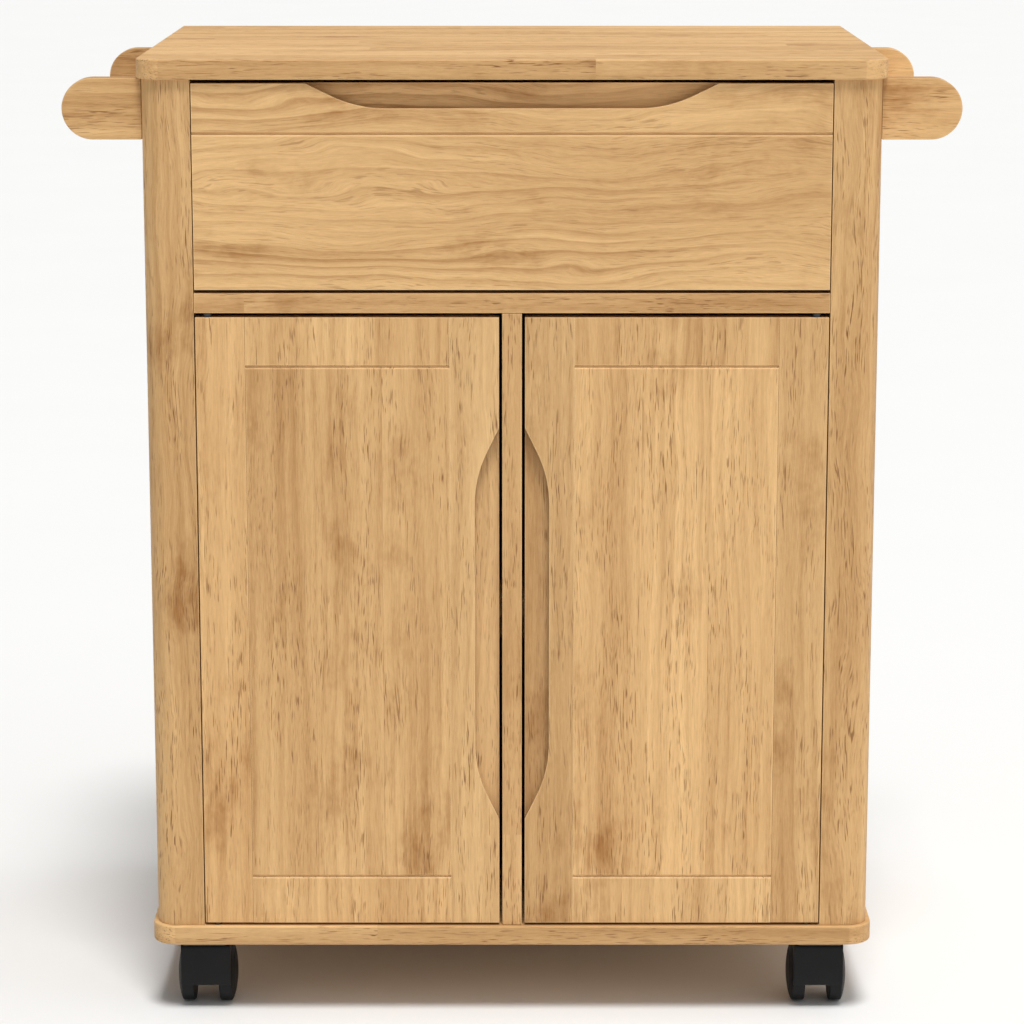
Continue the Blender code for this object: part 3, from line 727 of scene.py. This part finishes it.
def make_handle(name, side):
    rod_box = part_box(f"towel_rod_{name}")
    centre = (Vector(rod_box[0]) + Vector(rod_box[1])) / 2
    radius = (rod_box[1][2] - rod_box[0][2]) / 2
    for end in ENDS:
        node = f"handle_bracket_{name}_{end}"
        box = grown(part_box(node), high=(0, 0, HALF_GLUE))
        low, high = box
        inner, outer = (low[0], high[0]) if side > 0 else (high[0], low[0])
        half = (high[2] - low[2]) / 2
        tip = arc((abs(outer) - half, (high[2] + low[2]) / 2), half, -90, 90, 40)
        points = [(inner, high[2]), (inner, low[2])] + [(side * u, v) for u, v in tip]
        ends = (rod_box[0][1] - 2 * SOCKET_PLAY, rod_box[1][1] + 2 * SOCKET_PLAY)
        socket = cylinder_form(radius + SOCKET_PLAY, *ends, centre, "Y")
        form = prism_form(points, low[1], high[1], "Y")
        bracket = shaped(f"{node}_plank", form, cuts=[socket], edge=0.0009)
        # The right bracket is painted lighter than the left: painted light for the light that falls on it from the
        # right
        stand_for(bracket, pine(node, box, "XZY", 1, 0.98 if side < 0 else 1.07), node)
    node = f"towel_rod_{name}"
    form = cylinder_form(radius, rod_box[0][1], rod_box[1][1], centre, "Y")
    rod = shaped(f"{node}_dowel", form, edge=0.0006)
    stand_for(rod, pine(node, rod_box, "YZX", 1, 1.0), node)


# ---------------------------------------------------------------- castors

def make_plate(tag, x, y):
    """A steel plate with round corners, over the stem that the hood swivels on."""
    low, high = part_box(f"castor_plate_{tag}")
    top = high[2]
    under = top - PLATE_THICK
    reach = (high[0] - low[0]) / 2 - PLATE_CORNER
    points = []
    corners = ((reach, reach), (-reach, reach), (-reach, -reach), (reach, -reach))
    for turn, (across, along) in enumerate(corners):
        points += arc((x + across, y + along), PLATE_CORNER, 90 * turn, 90 * turn + 90, 8)
    stem = cylinder_form(STEM_RADIUS, low[2], under + 0.0005, (x, y, 0), "Z", 40)
    plate = shaped(f"castor_plate_{tag}_steel", prism_form(points, under, top), joins=[stem], edge=0.0004)
    stand_for(plate, STEEL, f"castor_plate_{tag}")


def hood_outline(y):
    """The hood from the side, as the CAD has it: an arc over the wheels and a block round the stem."""
    axle = (y + TRAIL, AXLE_HEIGHT)
    front = y + TRAIL - HOOD_RADIUS
    lowest = math.degrees(math.asin((AXLE_HEIGHT - HOOD_NOSE) / HOOD_RADIUS))
    points = arc(axle, HOOD_RADIUS, 180 + lowest, 180, 14)
    points += arc((front + HOOD_CORNER, HOOD_TOP - HOOD_CORNER), HOOD_CORNER, 180, 90, 10)
    points += [(y + HOOD_CROWN_END, HOOD_TOP)]
    points += arc(axle, HOOD_RADIUS, 82, 10, 30)
    points += [(y + behind, height) for behind, height in HOOD_UNDERSIDE]
    return points


def make_hood(tag, x, y):
    """A hood with a fillet round its outside, hollowed for two wheels, with their axle through it."""
    low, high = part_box(f"castor_hood_{tag}")
    middle = (0, y + TRAIL, AXLE_HEIGHT)
    cuts = []
    for side in SIDES.values():
        near, far = sorted((x + side * WEB_HALF, x + side * WHEEL_SIDE))
        cuts.append(cylinder_form(WHEEL_ROOM, near, far, middle, "X", 96))
        cuts.append(box_form((near, y + OPEN_FRONT, -0.010), (far, y + OPEN_BACK, OPEN_TOP)))
    cuts.append(cylinder_form(STEM_BORE, *STEM_BORE_ENDS, (x, y, 0), "Z", 40))
    axle = cylinder_form(AXLE_RADIUS, x - AXLE_HALF, x + AXLE_HALF, middle, "X", 32)
    block = prism_form(hood_outline(y), low[0], high[0], "X")
    body = shaped(f"hood_body_{tag}", block, edge=HOOD_FILLET, segments=5)
    form = bmesh.new()
    form.from_mesh(body.data)
    bpy.data.objects.remove(body)
    hood = shaped(f"castor_hood_{tag}_shell", form, cuts=cuts, joins=[axle])
    stand_for(hood, HOOD_BLACK, f"castor_hood_{tag}")


def wheel_profile():
    """(radius, distance from the castor's middle): a domed cap set in a rim, a tread, and a blind bore."""
    cap = [(0.0, 0.0250)]
    cap += [(0.0175 * i / 10, 0.0250 - 0.0018 * (i / 10) ** 2) for i in range(1, 11)]
    groove = [(0.0177, 0.0228), (0.0183, 0.0226), (0.0186, 0.0229)]
    rim = [(0.0205, 0.0224), (0.0225, 0.0217), (0.0240, 0.0210)]
    tread = [(0.0248, 0.0204), (0.0250, 0.0196), (0.0250, 0.0118), (0.0247, 0.0109), (0.0240, 0.0104)]
    hub = [(0.0065, 0.0104), (0.0031, 0.0104), (0.0031, 0.0200), (0.0, 0.0200)]
    return cap + groove + rim + tread + hub


def make_wheels(tag, x, y):
    for name, side in SIDES.items():
        node = f"castor_wheel_{tag}_{name}"
        form = turned_form(wheel_profile(), 96)
        turn = Matrix.Rotation(side * math.radians(90), 4, "Y")
        move = Matrix.Translation((x, y + TRAIL, AXLE_HEIGHT))
        bmesh.ops.transform(form, matrix=move @ turn, verts=form.verts)
        wheel = shaped(f"{node}_moulding", form)
        stand_for(wheel, WHEEL_BLACK, node)


def make_castors():
    for joint in frame["joints"]:
        if not joint["name"].endswith("_swivel"):
            continue
        tag = joint["child"].removeprefix("castor_")
        x, y = joint["pos_m"][:2]
        make_plate(tag, x, y)
        make_hood(tag, x, y)
        make_wheels(tag, x, y)


# ---------------------------------------------------------------- fittings kept from the CAD

def paint_fittings():
    for name in SIDES:
        paint(f"door_catch_{name}", CATCH_BROWN)
        for end in ("lower", "upper"):
            paint(f"{name}_door_pin_{end}", STEEL)


# ---------------------------------------------------------------- studio

def sun_light(name, towards, size, strength):
    """Light from a direction, as wide as a studio lamp looks. It lights the whole floor alike."""
    data = bpy.data.lights.new(name, "SUN")
    data.angle = math.radians(size)
    data.energy = strength
    lamp = bpy.data.objects.new(name, data)
    lamp.rotation_euler = Vector(towards).to_track_quat("Z", "Y").to_euler()
    bpy.context.scene.collection.objects.link(lamp)


def make_studio():
    form = bmesh.new()
    bmesh.ops.create_grid(form, x_segments=1, y_segments=1, size=40)
    floor = mesh_object("studio_floor", form)
    material, n, shader = principled("studio_floor", FLOOR_SHADES[0], 0.6)
    mottle = n.noise(n.add("ShaderNodeTexCoord").outputs["Object"], (3, 3, 3), 2.0)
    share = n.math("MULTIPLY_ADD", mottle, 0.5)
    share.node.inputs[2].default_value = 0.5
    n.feed(shader.inputs["Base Color"], n.mix(share, *FLOOR_SHADES))
    floor.data.materials.append(material)

    world = bpy.data.worlds.new("studio")
    world.use_nodes = True
    n = Nodes(world.node_tree)
    rightwards = n.split(n.add("ShaderNodeTexCoord").outputs["Generated"])[0]
    sky = n.math("MULTIPLY_ADD", rightwards, SKY * SKY_LEAN)
    sky.node.inputs[2].default_value = SKY
    seen = n.add("ShaderNodeLightPath").outputs["Is Camera Ray"]
    sky = n.math("MAXIMUM", sky, n.math("MULTIPLY", seen, BACKDROP))
    n.feed(world.node_tree.nodes["Background"].inputs["Strength"], sky)
    world.node_tree.nodes["Background"].inputs["Color"].default_value = (1, 1, 1, 1)
    bpy.context.scene.world = world

    sun_light("key", (1.5, -9.6, 26), 16, 2.55)
    sun_light("softbox", (10, -8.4, 8), 110, 0.66)


def make_camera():
    data = bpy.data.cameras.new("camera")
    data.lens = LENS
    data.sensor_width = 36
    camera = bpy.data.objects.new("camera", data)
    camera.location = EYE
    camera.rotation_euler = (math.radians(90) - TILT, 0, 0)
    bpy.context.scene.collection.objects.link(camera)
    bpy.context.scene.camera = camera
    bpy.context.scene.view_settings.view_transform = "Standard"
    bpy.context.scene.view_settings.look = "None"


make_boards()
make_posts()
make_planks()
make_deck()
make_drawer_front()
for side_name, side_sign in SIDES.items():
    make_door(side_name, side_sign)
    make_handle(side_name, side_sign)
make_castors()
paint_fittings()
make_studio()
make_camera()
